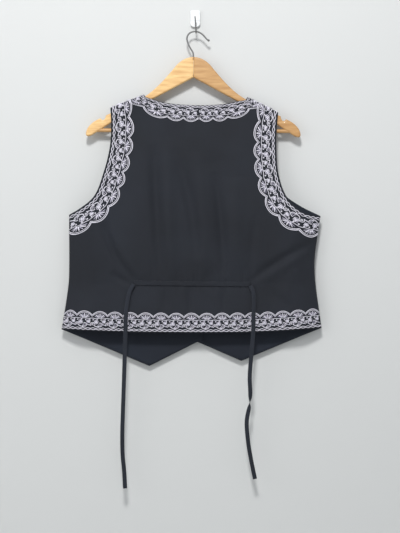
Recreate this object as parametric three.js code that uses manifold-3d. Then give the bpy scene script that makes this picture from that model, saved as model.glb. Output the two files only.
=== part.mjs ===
// Embroidered folk vest, hung back outward on a wooden hanger from an adhesive wall hook.
// Millimetres. +X is to the right as seen from the back of the vest, +Z is up, the wall is Y = 0
// and everything stands in front of it, at negative Y. The origin is the middle of the hook pad's
// back face. The cloth is drawn flat, as a pattern, and each piece is then laid over one form.
import * as THREE from 'three';
import ManifoldModule from 'manifold-3d';

const { Manifold, Mesh } = await ManifoldModule().then((kit) => (kit.setup(), kit));

// ---------------------------------------------------------------- driving sizes
const GAP = 0.3;              // between any two pieces that touch
const CLOTH = 1.2;            // the panels' wall
const TRIM = 0.8;             // the embroidered edging's wall
const TRIM_LIFT = 0.4;        // edging off the cloth under it
const HANG_Y = -18;           // the plane of the hanger, out from the wall
const WOOD = 10.2;             // thickness of the hanger's arms
const OVER = 7.2;             // radius of the cloth's middle where it bends over an arm
const SEAM_HALF = (CLOTH + GAP) / 2;   // half the step between back and front at a side seam
const SEAM_SOFT = 60;         // how far in from a side seam the cloth opens to its full depth
const FRONT_LAP = 12;         // each front runs this far past the middle
const MIDDLE_X = 3.7;         // where the two fronts meet at the hem
const LAP_STEP = 1.7;         // the upper front stands this much further out at the lap

const NECK_LEFT = { x: -107, z: -160.5 };
const NECK_RIGHT = { x: 108.7, z: -165.5 };
const TIP_LEFT = { x: -175, z: -187.5 };
const TIP_RIGHT = { x: 171.4, z: -197.5 };

// how deep the body stands off the hanger's plane, down the garment: back and front
const DEPTHS = [
  { name: 'shoulder', z: -150, back: 0, front: 0 },
  { name: 'blade', z: -300, back: 5, front: 0.8 },
  { name: 'pit', z: -420, back: 11, front: 1.4 },
  { name: 'ribs', z: -500, back: 11, front: 1.4 },
  { name: 'waist', z: -550, back: 8, front: 1.2 },
  { name: 'hip', z: -600, back: 11, front: 1.2 },
  { name: 'hem', z: -650, back: 13, front: 1.2 },
];

// side seams, from the hem corner up to the pit
const SIDE_LEFT = [
  { at: 'hem', x: -275.8, z: -644.7 },
  { at: 'hip', x: -267, z: -592 },
  { at: 'waist', x: -260.8, z: -545 },
  { at: 'ribs', x: -259.8, z: -500 },
  { at: 'pit', x: -260.2, z: -408 },
];
const SIDE_RIGHT = [
  { at: 'hem', x: 260.6, z: -641.8 },
  { at: 'hip', x: 253.8, z: -592.5 },
  { at: 'waist', x: 247.6, z: -545 },
  { at: 'ribs', x: 246.4, z: -500 },
  { at: 'pit', x: 258.5, z: -410.5 },
];

// armholes, from the pit up to the tip of the shoulder
const ARMHOLE_LEFT = [
  { at: 'pit', x: -260.2, z: -408 },
  { at: 'under', x: -238, z: -396 },
  { at: 'turn', x: -208, z: -371 },
  { at: 'low', x: -188, z: -321 },
  { at: 'middle', x: -175.5, z: -268 },
  { at: 'upper', x: -173, z: -222 },
];
const ARMHOLE_RIGHT = [
  { at: 'pit', x: 258.5, z: -410.5 },
  { at: 'under', x: 222, z: -402.5 },
  { at: 'turn', x: 190, z: -375 },
  { at: 'low', x: 171.8, z: -328 },
  { at: 'middle', x: 167, z: -270 },
  { at: 'upper', x: 168.4, z: -222 },
];
const ARMHOLE_RIGHT_FRONT = [
  { at: 'pit', x: 258.5, z: -410.5 },
  { at: 'under', x: 216, z: -388.5 },
  { at: 'turn', x: 184, z: -364 },
  { at: 'low', x: 171.4, z: -326 },
  { at: 'middle', x: 167.2, z: -270 },
  { at: 'upper', x: 168.6, z: -222 },
];

const HEM_BACK = [
  { at: 'left', x: -275.8, z: -644.7 },
  { at: 'left dip', x: -150, z: -649.5 },
  { at: 'middle', x: 4, z: -651.5 },
  { at: 'right dip', x: 135, z: -649.5 },
  { at: 'right', x: 260.6, z: -641.8 },
];
const HEM_FRONT_POINTS = { left: { x: -95, z: -721 }, right: { x: 95.6, z: -710.4 } };
const HEM_NOTCH_Z = -671.6;
const NECKLINE_BACK = [
  { at: 'left drop', x: -102.5, z: -165 },
  { at: 'left bend', x: -89, z: -170 },
  { at: 'left', x: -60, z: -178 },
  { at: 'middle', x: 8, z: -183 },
  { at: 'right', x: 62, z: -180 },
  { at: 'right bend', x: 90, z: -174 },
  { at: 'right drop', x: 105, z: -171 },
];
const VEE_BOTTOM_Z = -402;

// the largest folds of the back: a crease from one end to the other, bowed sideways, its width and
// how far it stands out (a ridge) or in (a trough)
const FOLDS = [
  { name: 'left centre trough', x0: -84, z0: -262, x1: -70, z1: -538, bow: 3, width: 15, out: -5 },
  { name: 'left centre ridge', x0: -58, z0: -250, x1: -44, z1: -538, bow: 4, width: 17, out: 5 },
  { name: 'middle trough', x0: -42, z0: -270, x1: 5, z1: -500, bow: -8, width: 17, out: -5 },
  { name: 'middle ridge', x0: 0, z0: -280, x1: 22, z1: -532, bow: -6, width: 18, out: 4.5 },
  { name: 'right centre trough', x0: 40, z0: -320, x1: 60, z1: -536, bow: -3, width: 15, out: -5 },
  { name: 'right ridge', x0: 84, z0: -330, x1: 86, z1: -534, bow: 3, width: 18, out: 4 },
  { name: 'left pull', x0: -188, z0: -424, x1: -124, z1: -544, bow: 9, width: 15, out: -7 },
  { name: 'right pull', x0: 252, z0: -462, x1: 110, z1: -548, bow: 5, width: 15, out: -7 },
];

// edging: number of scallops, how far in from the cloth's edge it starts, width to the notches
// between scallops and to their tops, and the shares of its length where its cross lines leave the
// first seam to stand square to the edge (square) and turn to lie along the last seam (turned)
const TRIMS = {
  neck_back: { scallops: 4, inset: 1.2, notch: 26, top: 34, square: [0, 0], turned: [0.45, 0.86] },
  neck_front: { scallops: 9, inset: 1.2, notch: 26, top: 34, square: [0.06, 0.18], turned: [0.88, 0.99] },
  armhole_back: { scallops: 8, inset: 3.5, notch: 36, top: 44, square: [0, 0.16], turned: [0.8, 0.94] },
  armhole_front: { scallops: 8, inset: 3.5, notch: 36, top: 44, square: [0.06, 0.2], turned: [0.84, 1] },
  hem: { scallops: 17, inset: 2.5, notch: 31, top: 39, square: [0, 0.05], turned: [0.95, 1] },
};
const STEPS_PER_SCALLOP = 5;
const STEPS_IN_BEND = 12;     // for the scallop that bends over the shoulder
const TRIM_ROWS = 3;

const CASING = { left: -125, right: 112.5, zLeft: -548.5, zRight: -551.5, tall: 10, wall: 0.8, lift: 0.6 };
const TIE = { wide: 9, thick: 2 };
const BUTTON = { count: 4, radius: 7.5, thick: 3, holes: 4, holeRadius: 1, holeRing: 2.2 };
const BUTTON_TOP_Z = -452;
const BUTTON_PITCH = 60;

const CROWN = { x: -3.3, z: -82.4 };   // the top of the hanger, where its two arms meet
const TILT = THREE.MathUtils.degToRad(0.3);
const BAR = { radius: 4, z: -152, reach: 204, bore: 4.3 };
const HOOK_WIRE = 1.6;
const WALL_WIRE = 1.3;
const PAD = { wide: 20, top: 17, bottom: -17.5, thick: 5, groove: -5 };

const MATERIALS = {
  cotton: { color: 0x10141f, roughness: 0.9, metalness: 0 },
  cottonInside: { color: 0x121724, roughness: 0.9, metalness: 0 },
  edging: { color: 0xa9a5b8, roughness: 0.75, metalness: 0 },
  tape: { color: 0x141925, roughness: 0.85, metalness: 0 },
  button: { color: 0x15171c, roughness: 0.4, metalness: 0 },
  woodLight: { color: 0xe2b672, roughness: 0.5, metalness: 0 },
  woodDark: { color: 0xc0935a, roughness: 0.5, metalness: 0 },
  steel: { color: 0x6d6f72, roughness: 0.35, metalness: 0.9 },
  plastic: { color: 0xf2f3f3, roughness: 0.4, metalness: 0 },
};

// ---------------------------------------------------------------- small helpers
const lerp = THREE.MathUtils.lerp;
const ease = (t) => t * t * (3 - 2 * t);
const ramp = (v, from, to) => ease(THREE.MathUtils.clamp((v - from) / (to - from || 1e-9), 0, 1));

// a smooth line through rows that carry x and z
function smoothLine(rows) {
  const line = new THREE.CatmullRomCurve3(rows.map((r) => new THREE.Vector3(r.x, 0, r.z)), false, 'centripetal');
  line.arcLengthDivisions = 400;
  return (t) => {
    const p = line.getPointAt(THREE.MathUtils.clamp(t, 0, 1));
    return { x: p.x, z: p.z };
  };
}
const straight = (a, b) => (t) => ({ x: lerp(a.x, b.x, t), z: lerp(a.z, b.z, t) });

// several lines one after the other: parts of [share of the run, line]
function chain(parts) {
  return (t) => {
    let from = 0;
    for (const [share, line] of parts) {
      if (t <= from + share + 1e-9) return line((t - from) / share);
      from += share;
    }
    return parts.at(-1)[1](1);
  };
}

// a value read from a table down the garment
function fromTable(rows, z, column) {
  if (z >= rows[0].z) return rows[0][column];
  for (let i = 1; i < rows.length; i++) {
    const upper = rows[i - 1], lower = rows[i];
    if (z >= lower.z) return lerp(upper[column], lower[column], ease((upper.z - z) / (upper.z - lower.z)));
  }
  return rows.at(-1)[column];
}

// ---------------------------------------------------------------- the form the cloth lies on
const FLAT_DROP = (Math.PI / 2 - 1) * OVER;   // cloth length spent in the bend over the arm
const PAST_NECK = 1.35;                       // the ridge runs on along the arm past the neck

function ridgeHeight(x) {
  const [tip, neck] = x < 0 ? [TIP_LEFT, NECK_LEFT] : [TIP_RIGHT, NECK_RIGHT];
  return lerp(tip.z, neck.z, THREE.MathUtils.clamp((x - tip.x) / (neck.x - tip.x), 0, PAST_NECK));
}
const seamHeight = (x) => ridgeHeight(x) + FLAT_DROP;   // the shoulder seam, on the flat pattern

// distance to the nearer side seam; above the pits it is the distance to the pit itself
function seamDistance(x, h) {
  const side = x < 0 ? SIDE_LEFT : SIDE_RIGHT;
  const pit = side.at(-1);
  const above = Math.max(0, h - pit.z);
  const edge = above > 0 ? pit.x : fromTable([...side].reverse(), h, 'x');
  return Math.hypot(Math.max(0, Math.abs(edge) - Math.abs(x)), above);
}

function foldDepth(x, h) {
  let depth = 0;
  for (const f of FOLDS) {
    const dx = f.x1 - f.x0, dz = f.z1 - f.z0, length = Math.hypot(dx, dz);
    const along = ((x - f.x0) * dx + (h - f.z0) * dz) / (length * length);
    if (along <= 0 || along >= 1) continue;
    const off = ((x - f.x0) * dz - (h - f.z0) * dx) / length - f.bow * 4 * along * (1 - along);
    depth += f.out * Math.exp(-((off / f.width) ** 2)) * Math.sin(Math.PI * along) ** 0.8;
  }
  return depth;
}

// side -1 is the back, +1 the front; x and h are places on the flat pattern
function form(side, x, h, extra = 0) {
  const down = seamHeight(x) - h;
  const turn = down / OVER;
  if (turn < Math.PI / 2) {
    const z = ridgeHeight(x) - OVER * (1 - Math.cos(turn));
    return new THREE.Vector3(x, HANG_Y + side * OVER * Math.sin(turn), z);
  }
  const open = Math.sin((Math.PI / 2) * Math.min(seamDistance(x, h) / SEAM_SOFT, 1));
  const start = ramp(down, OVER * Math.PI / 2, 140);
  const loose = fromTable(DEPTHS, h, side < 0 ? 'back' : 'front') * start;
  const folds = side < 0 ? foldDepth(x, h) * ramp(down, 40, 110) : 0;
  const depth = SEAM_HALF + (OVER - SEAM_HALF + loose + extra * start + folds) * open;
  return new THREE.Vector3(x, HANG_Y + side * depth, h);
}

// the same place, moved out along the cloth's own outward direction
function onForm(side, x, h, lift, extra) {
  const d = 0.4;
  const bulge = (a, b) => (typeof extra === 'function' ? extra(a, b) : 0);
  const at = (a, b) => form(side, a, b, bulge(a, b));
  const across = at(x + d, h).sub(at(x - d, h));
  const up = at(x, h + d).sub(at(x, h - d));
  const out = across.cross(up).normalize().multiplyScalar(-side);
  return at(x, h).addScaledVector(out, lift);
}

// the right front lies over the left front at the lap, so it stands further out there
const lapBulge = (x) => LAP_STEP * (1 - ramp(x, 18, 80));

// ---------------------------------------------------------------- walls
// a closed wall over a grid: place(u, v, lift) at two lifts, joined round its edge
function wall(cols, rows, place, low, high) {
  const points = [], index = [];
  const us = typeof cols === 'number' ? Array.from({ length: cols + 1 }, (_, i) => i / cols) : cols;
  const vs = typeof rows === 'number' ? Array.from({ length: rows + 1 }, (_, i) => i / rows) : rows;
  for (const lift of [low, high]) {
    for (const v of vs) for (const u of us) points.push(place(u, v, lift));
  }
  const nu = us.length, nv = vs.length;
  const id = (i, j, layer) => layer * nu * nv + j * nu + i;
  const quad = (a, b, c, d) => index.push(a, b, c, a, c, d);
  for (let j = 0; j < nv - 1; j++) {
    for (let i = 0; i < nu - 1; i++) {
      quad(id(i, j, 1), id(i + 1, j, 1), id(i + 1, j + 1, 1), id(i, j + 1, 1));
      quad(id(i, j, 0), id(i, j + 1, 0), id(i + 1, j + 1, 0), id(i + 1, j, 0));
    }
  }
  for (let i = 0; i < nu - 1; i++) {
    quad(id(i, 0, 0), id(i + 1, 0, 0), id(i + 1, 0, 1), id(i, 0, 1));
    quad(id(i + 1, nv - 1, 0), id(i, nv - 1, 0), id(i, nv - 1, 1), id(i + 1, nv - 1, 1));
  }
  for (let j = 0; j < nv - 1; j++) {
    quad(id(0, j + 1, 0), id(0, j, 0), id(0, j, 1), id(0, j + 1, 1));
    quad(id(nu - 1, j, 0), id(nu - 1, j + 1, 0), id(nu - 1, j + 1, 1), id(nu - 1, j, 1));
  }
  const geometry = new THREE.BufferGeometry().setFromPoints(points);
  geometry.setIndex(index);
  return facingOut(geometry);
}

// turns a closed mesh the right way round if its volume comes out negative
function facingOut(geometry) {
  const p = geometry.attributes.position, ix = geometry.index.array;
  const [a, b, c] = [new THREE.Vector3(), new THREE.Vector3(), new THREE.Vector3()];
  let volume = 0;
  for (let i = 0; i < ix.length; i += 3) {
    a.fromBufferAttribute(p, ix[i]);
    b.fromBufferAttribute(p, ix[i + 1]);
    c.fromBufferAttribute(p, ix[i + 2]);
    volume += a.dot(b.cross(c));
  }
  if (volume < 0) for (let i = 0; i < ix.length; i += 3) [ix[i], ix[i + 1]] = [ix[i + 1], ix[i]];
  geometry.computeVertexNormals();
  return geometry;
}

// a flat four-sided pattern piece from its four edges
function patch(bottom, top, left, right) {
  const [bl, br, tl, tr] = [bottom(0), bottom(1), top(0), top(1)];
  return (u, v) => {
    const [b, t, l, r] = [bottom(u), top(u), left(v), right(v)];
    const mix = (k) => (1 - v) * b[k] + v * t[k] + (1 - u) * l[k] + u * r[k]
      - ((1 - u) * (1 - v) * bl[k] + u * (1 - v) * br[k] + (1 - u) * v * tl[k] + u * v * tr[k]);
    return { x: mix('x'), h: mix('z') };
  };
}

// rows of a panel: even up the side and up the armhole, then close together in the bend
const PIT_V = 0.42;
const BEND_V = 0.968;
const BEND_ROWS = 4;
const evenly = (from, to, count) => Array.from({ length: count }, (_, i) => lerp(from, to, i / count));
const panelRows = (below, above) =>
  [...evenly(0, PIT_V, below), ...evenly(PIT_V, BEND_V, above), ...evenly(BEND_V, 1, BEND_ROWS), 1];
const flatSeam = (p) => ({ x: p.x, z: p.z + FLAT_DROP - GAP / 2 });

function edgeUp(side, armhole, tip) {
  const lines = [smoothLine(side), smoothLine([...armhole, flatSeam(tip)])];
  return chain([[PIT_V, lines[0]], [1 - PIT_V, lines[1]]]);
}

// ---------------------------------------------------------------- panels
const SHOULDER_U = 0.2;

function backPanel() {
  const neck = smoothLine([flatSeam(NECK_LEFT), ...NECKLINE_BACK, flatSeam(NECK_RIGHT)]);
  const top = chain([
    [SHOULDER_U, straight(flatSeam(TIP_LEFT), flatSeam(NECK_LEFT))],
    [1 - 2 * SHOULDER_U, neck],
    [SHOULDER_U, straight(flatSeam(NECK_RIGHT), flatSeam(TIP_RIGHT))],
  ]);
  const flat = patch(smoothLine(HEM_BACK), top,
    edgeUp(SIDE_LEFT, ARMHOLE_LEFT, TIP_LEFT), edgeUp(SIDE_RIGHT, ARMHOLE_RIGHT, TIP_RIGHT));
  const place = (u, v, lift) => {
    const p = flat(u, v);
    return onForm(-1, p.x, p.h, lift);
  };
  return wall(34, panelRows(10, 9), place, -CLOTH / 2, CLOTH / 2);
}

// the front edge of a front: up the middle, then along the vee to the neck
const MIDDLE_V = 0.5;
const POINT_U = 0.6;   // share of a front's hem from the side seam to its point
function frontEdge(middleX, neck) {
  const hemZ = HEM_NOTCH_Z + 0.5 * FRONT_LAP;
  return chain([
    [MIDDLE_V, straight({ x: middleX, z: hemZ }, { x: middleX, z: VEE_BOTTOM_Z })],
    [1 - MIDDLE_V, straight({ x: middleX, z: VEE_BOTTOM_Z }, flatSeam(neck))],
  ]);
}

function frontPanel(isLeft) {
  const middleX = MIDDLE_X + (isLeft ? FRONT_LAP : -FRONT_LAP);
  const [neck, tip] = isLeft ? [NECK_LEFT, TIP_LEFT] : [NECK_RIGHT, TIP_RIGHT];
  const side = isLeft ? SIDE_LEFT : SIDE_RIGHT;
  const point = isLeft ? HEM_FRONT_POINTS.left : HEM_FRONT_POINTS.right;
  const corner = { x: middleX, z: HEM_NOTCH_Z + 0.5 * FRONT_LAP };
  const hem = chain([[POINT_U, straight(side[0], point)], [1 - POINT_U, straight(point, corner)]]);
  const outer = edgeUp(side, isLeft ? ARMHOLE_LEFT : ARMHOLE_RIGHT_FRONT, tip);
  const flat = patch(hem, straight(flatSeam(tip), flatSeam(neck)), outer, frontEdge(middleX, neck));
  const place = (u, v, lift) => {
    const p = flat(u, v);
    return onForm(1, p.x, p.h, lift, isLeft ? undefined : lapBulge);
  };
  return wall([...evenly(0, POINT_U, 8), ...evenly(POINT_U, 1, 5), 1], panelRows(8, 9), place, -CLOTH / 2, CLOTH / 2);
}

// ---------------------------------------------------------------- edging
// width of the edging at a share t of a run with so many scallops
function scallopWidth(trim, t) {
  const f = (t * trim.scallops) % 1;
  return trim.notch + (trim.top - trim.notch) * (1 - Math.abs(2 * f - 1) ** 2.2);
}

// stations along an edging: the scallop at the bend (first or last) has more of them
function trimSteps(trim, bend) {
  const n = trim.scallops;
  const stepsIn = (k) => ((bend === 'last' && k === n - 1) || (bend === 'first' && k === 0) ? STEPS_IN_BEND : STEPS_PER_SCALLOP);
  return [...Array.from({ length: n }, (_, k) => evenly(k / n, (k + 1) / n, stepsIn(k))).flat(), 1];
}

// a strip along an edge line: its cross lines stand square to the edge, but lie along the seams
// at both ends; ends are directions on the flat pattern
function strip(side, line, trim, bend, ends, inward, lift, extra) {
  return trimSteps(trim, bend).map((t) => {
    const d = 0.004;
    const a = line(Math.max(0, t - d)), b = line(Math.min(1, t + d)), p = line(t);
    const cross = new THREE.Vector2(b.z - a.z, a.x - b.x).normalize().multiplyScalar(inward);
    const [leave, arrive] = [ramp(t, ...trim.square), ramp(t, ...trim.turned)];
    cross.lerp(ends[0], 1 - leave).lerp(ends[1], arrive).normalize();
    return (share, thick) => {
      const reach = trim.inset + share * scallopWidth(trim, Math.min(t, 1 - 1e-6));
      const x = p.x + cross.x * reach, h = p.z + cross.y * reach;
      const raise = typeof lift === 'function' ? lift(h) : lift;
      return onForm(side, x, h, CLOTH / 2 + raise + thick, extra);
    };
  });
}

function stripWall(stations) {
  const last = stations.length - 1;
  return wall(last, TRIM_ROWS, (u, v, lift) => stations[Math.round(u * last)](v, lift), 0, TRIM);
}

// from the pit up to the shoulder seam, then down the front to the pit again
function armholeTrim(isLeft) {
  const [tip, neck] = isLeft ? [TIP_LEFT, NECK_LEFT] : [TIP_RIGHT, NECK_RIGHT];
  const hand = isLeft ? 1 : -1;
  const sideRows = isLeft ? SIDE_LEFT : SIDE_RIGHT;
  const [rib, pit] = sideRows.slice(-2);
  const downSeam = new THREE.Vector2(rib.x - pit.x, rib.z - pit.z).normalize();
  const alongShoulder = new THREE.Vector2(neck.x - tip.x, neck.z - tip.z).normalize();
  const start = (rows) => [{ x: pit.x + hand * 0.6, z: pit.z }, ...rows.slice(1)];
  const seam = { x: tip.x, z: tip.z + FLAT_DROP };
  const over = (h) => TRIM_LIFT + (TRIM + TRIM_LIFT) * ramp(h, -270, -215);
  const backLine = smoothLine([...start(isLeft ? ARMHOLE_LEFT : ARMHOLE_RIGHT), seam]);
  const frontUp = smoothLine([...start(isLeft ? ARMHOLE_LEFT : ARMHOLE_RIGHT_FRONT), seam]);
  const back = strip(-1, backLine, TRIMS.armhole_back, 'last', [downSeam, alongShoulder], hand, over);
  const front = strip(1, (t) => frontUp(1 - t), TRIMS.armhole_front, 'first',
    [alongShoulder, downSeam], -hand, over, isLeft ? undefined : lapBulge);
  return stripWall([...back, ...front.slice(1)]);
}

// one half of the neck edging: from the middle of the back, over the shoulder, down the vee
function neckTrim(isLeft) {
  const [tip, neck] = isLeft ? [TIP_LEFT, NECK_LEFT] : [TIP_RIGHT, NECK_RIGHT];
  const hand = isLeft ? 1 : -1;
  const middle = NECKLINE_BACK[3].x;
  const flatNeck = { x: neck.x, z: neck.z + FLAT_DROP };
  const half = NECKLINE_BACK.filter((r) => (isLeft ? r.x < middle : r.x > middle));
  const rows = [...(isLeft ? half.reverse() : half), flatNeck];
  const join = { x: middle - hand * GAP / 2, z: NECKLINE_BACK[3].z };
  const alongShoulder = new THREE.Vector2(tip.x - neck.x, tip.z - neck.z).normalize();
  const down = new THREE.Vector2(0, -1);
  const middleX = MIDDLE_X - FRONT_LAP;
  const endX = isLeft ? middleX - 1.2 : middleX + 1.2;
  const edgeEnd = isLeft ? MIDDLE_X + FRONT_LAP : middleX;
  const share = (endX - edgeEnd) / (neck.x - edgeEnd);
  const veeEnd = { x: endX, z: lerp(VEE_BOTTOM_Z, flatNeck.z, share) };
  const back = strip(-1, smoothLine([join, ...rows]), TRIMS.neck_back, 'last', [down, alongShoulder],
    -hand, TRIM_LIFT);
  const front = strip(1, straight(flatNeck, veeEnd), TRIMS.neck_front, 'first', [alongShoulder, down],
    hand, TRIM_LIFT, isLeft ? undefined : lapBulge);
  return stripWall([...back, ...front.slice(1)]);
}

function hemTrim() {
  const inset = 0.6;
  const rows = HEM_BACK.map((r, i) => ({ ...r, x: r.x + (i === 0 ? inset : i === 4 ? -inset : 0) }));
  const up = (side) => new THREE.Vector2(side[1].x - side[0].x, side[1].z - side[0].z).normalize();
  return stripWall(strip(-1, smoothLine(rows), TRIMS.hem, 'none', [up(SIDE_LEFT), up(SIDE_RIGHT)], -1, TRIM_LIFT));
}

// the drawstring's casing: a strip sewn across the back at the waist
function casing() {
  const place = (u, v, lift) => {
    const x = lerp(CASING.left, CASING.right, u);
    const h = lerp(CASING.zLeft, CASING.zRight, u) + (v - 0.5) * CASING.tall;
    return onForm(-1, x, h, CLOTH / 2 + CASING.lift + lift);
  };
  return wall(32, 2, place, 0, CASING.wall);
}

// ---------------------------------------------------------------- ties, wire and other rounds
function sweep(rows, section, steps) {
  const route = new THREE.CatmullRomCurve3(rows.map((r) => new THREE.Vector3(r.x, r.y, r.z)), false, 'centripetal');
  return new THREE.ExtrudeGeometry(section, { steps, extrudePath: route, curveSegments: 1 });
}

function ovalSection(half, thin, sides) {
  const points = Array.from({ length: sides }, (_, i) => {
    const a = (2 * Math.PI * (i + 0.5)) / sides;
    return new THREE.Vector2(half * Math.cos(a), thin * Math.sin(a));
  });
  return new THREE.Shape(points);
}

// the two free ends of the drawstring, from the casing down
const TIE_LEFT = [
  { x: -126, y: -36.8, z: -551 },
  { x: -133, y: -39.2, z: -563 },
  { x: -137.5, y: -40.8, z: -580 },
  { x: -141.5, y: -42.4, z: -612 },
  { x: -142.5, y: -43.2, z: -650 },
  { x: -144, y: -42.6, z: -699 },
  { x: -146, y: -41, z: -757 },
  { x: -148, y: -39.4, z: -815 },
  { x: -149.3, y: -38.2, z: -865 },
  { x: -148.4, y: -37.4, z: -903 },
  { x: -145.5, y: -37, z: -934 },
  { x: -143.6, y: -36.8, z: -969.5 },
];
const TIE_RIGHT = [
  { x: 113.4, y: -36.8, z: -554 },
  { x: 118.5, y: -39.4, z: -566 },
  { x: 120.3, y: -41, z: -584 },
  { x: 119.3, y: -42.6, z: -612 },
  { x: 118.6, y: -43.4, z: -650 },
  { x: 114.5, y: -42.6, z: -699 },
  { x: 111.6, y: -41.2, z: -742 },
  { x: 112.8, y: -40, z: -775 },
  { x: 111.6, y: -39.4, z: -797 },
  { x: 105.6, y: -38.8, z: -832 },
  { x: 108.6, y: -38.2, z: -875 },
  { x: 114, y: -37.6, z: -908 },
  { x: 122.5, y: -37.2, z: -950 },
];
const tie = (rows) => sweep(rows, ovalSection(TIE.thick / 2, TIE.wide / 2, 10), 40);

function button() {
  const r = BUTTON.radius, t = BUTTON.thick;
  const profile = [[0, 0], [r - 1, 0], [r, 1], [r, t - 0.6], [r - 0.6, t], [r - 1.6, t], [r - 2.4, t - 0.8], [0, t - 0.8]];
  let body = solid(new THREE.LatheGeometry(profile.map(([x, y]) => new THREE.Vector2(x, y)), 24));
  for (let i = 0; i < BUTTON.holes; i++) {
    const a = (Math.PI / 2) * i + Math.PI / 4;
    const hole = new THREE.CylinderGeometry(BUTTON.holeRadius, BUTTON.holeRadius, 3 * t, 10);
    hole.translate(BUTTON.holeRing * Math.cos(a), 0, BUTTON.holeRing * Math.sin(a));
    body = body.subtract(solid(hole));
  }
  return meshOf(body);
}

// ---------------------------------------------------------------- joins and cuts
function solid(geometry) {
  const loose = geometry.index ? geometry.toNonIndexed() : geometry;
  const p = loose.attributes.position;
  const seen = new Map(), vertProperties = [], triVerts = [];
  for (let i = 0; i < p.count; i++) {
    const xyz = [p.getX(i), p.getY(i), p.getZ(i)];
    const key = xyz.map((v) => Math.round(v * 1e4)).join();
    if (!seen.has(key)) {
      seen.set(key, vertProperties.length / 3);
      vertProperties.push(...xyz);
    }
    triVerts.push(seen.get(key));
  }
  const kept = [];
  for (let i = 0; i < triVerts.length; i += 3) {
    const [a, b, c] = triVerts.slice(i, i + 3);
    if (a !== b && b !== c && a !== c) kept.push(a, b, c);
  }
  return new Manifold(new Mesh({ numProp: 3, vertProperties: new Float32Array(vertProperties), triVerts: new Uint32Array(kept) }));
}

function meshOf(body) {
  const mesh = body.getMesh();
  const geometry = new THREE.BufferGeometry();
  geometry.setAttribute('position', new THREE.BufferAttribute(new Float32Array(mesh.vertProperties), 3));
  geometry.setIndex([...mesh.triVerts]);
  geometry.computeVertexNormals();
  return geometry;
}

// ---------------------------------------------------------------- the hanger and the wall hook
// one arm, drawn from the crown outwards to the right
function armOutline() {
  const arm = new THREE.Shape();
  arm.moveTo(GAP / 2, -42.5);
  arm.lineTo(90.6, -91);
  arm.lineTo(175.5, -140.6);
  arm.lineTo(209, -162.4);
  arm.quadraticCurveTo(222.6, -168.6, 221.6, -158);
  arm.bezierCurveTo(220.6, -147, 209, -134, 191.5, -127.4);
  arm.quadraticCurveTo(188, -132.6, 184.4, -130.6);
  arm.quadraticCurveTo(181, -127.5, 180.4, -121.6);
  arm.lineTo(105, -85);
  arm.bezierCurveTo(79, -70.4, 54, -40, 36, -18);
  arm.bezierCurveTo(28, -9, 16, 0, GAP / 2, 0);
  return arm;
}

function hangerArm(hand) {
  const bevel = 3.4;
  const geometry = new THREE.ExtrudeGeometry(armOutline(), {
    depth: WOOD - 2 * bevel, curveSegments: 7, bevelEnabled: true,
    bevelSize: bevel, bevelThickness: bevel, bevelOffset: -bevel, bevelSegments: 3,
  });
  geometry.translate(0, 0, -(WOOD - 2 * bevel) / 2);
  // a bevelled outline shrinks at the joint too, so the joint is squared off with a block
  const joint = new THREE.BoxGeometry(12, 30, WOOD - 1).translate(6 + GAP / 2, -22, 0);
  const bore = new THREE.CylinderGeometry(BAR.bore, BAR.bore, 60, 24).rotateZ(Math.PI / 2);
  bore.translate(BAR.reach - 30 + 0.6, BAR.z, 0);
  let body = solid(geometry).add(solid(joint)).subtract(solid(bore));
  if (hand < 0) body = body.mirror([1, 0, 0]);
  return meshOf(body).rotateX(Math.PI / 2);
}

function hangerBar() {
  return new THREE.CylinderGeometry(BAR.radius, BAR.radius, 2 * BAR.reach, 24)
    .rotateZ(Math.PI / 2).translate(0, 0, BAR.z);
}

// the hook's wire, from the stem over the top to the ball, given from the crown
function hangerHook() {
  const route = [
    { x: -0.4, z: 0.35 }, { x: -1.2, z: 8.5 }, { x: -8, z: 20.5 }, { x: -12.9, z: 31.5 },
    { x: -13.8, z: 40.5 }, { x: -9.4, z: 48.6 }, { x: -2, z: 52.4 }, { x: 5, z: 52.9 },
    { x: 12, z: 50.8 }, { x: 18.6, z: 46.4 }, { x: 23.8, z: 40.8 }, { x: 27.4, z: 36.8 },
    { x: 30.8, z: 34.7 },
  ].map((r) => ({ ...r, y: 0 }));
  const wire = sweep(route, ovalSection(HOOK_WIRE, HOOK_WIRE, 10), 56);
  const ball = new THREE.SphereGeometry(2.5, 14, 10).translate(30.8, 0, 34.7);
  return meshOf(solid(wire).add(solid(ball)));
}

function wallPad() {
  const [w, t, b] = [PAD.wide / 2, PAD.top, PAD.bottom];
  const [topRound, lowRound, bevel] = [3, 8, 1];
  const face = new THREE.Shape();
  face.moveTo(-w + topRound, t);
  face.quadraticCurveTo(-w, t, -w, t - topRound);
  face.lineTo(-w, b + lowRound);
  face.quadraticCurveTo(-w, b, 0, b);
  face.quadraticCurveTo(w, b, w, b + lowRound);
  face.lineTo(w, t - topRound);
  face.quadraticCurveTo(w, t, w - topRound, t);
  const plate = new THREE.ExtrudeGeometry(face, {
    depth: PAD.thick - 2 * bevel, curveSegments: 6, bevelEnabled: true,
    bevelSize: bevel, bevelThickness: bevel, bevelOffset: -bevel, bevelSegments: 2,
  }).translate(0, 0, bevel).rotateX(Math.PI / 2);
  const groove = new THREE.BoxGeometry(PAD.wide + 2, 2, 1.8).translate(0, -PAD.thick, PAD.groove);
  return meshOf(solid(plate).subtract(solid(groove)));
}

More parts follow.
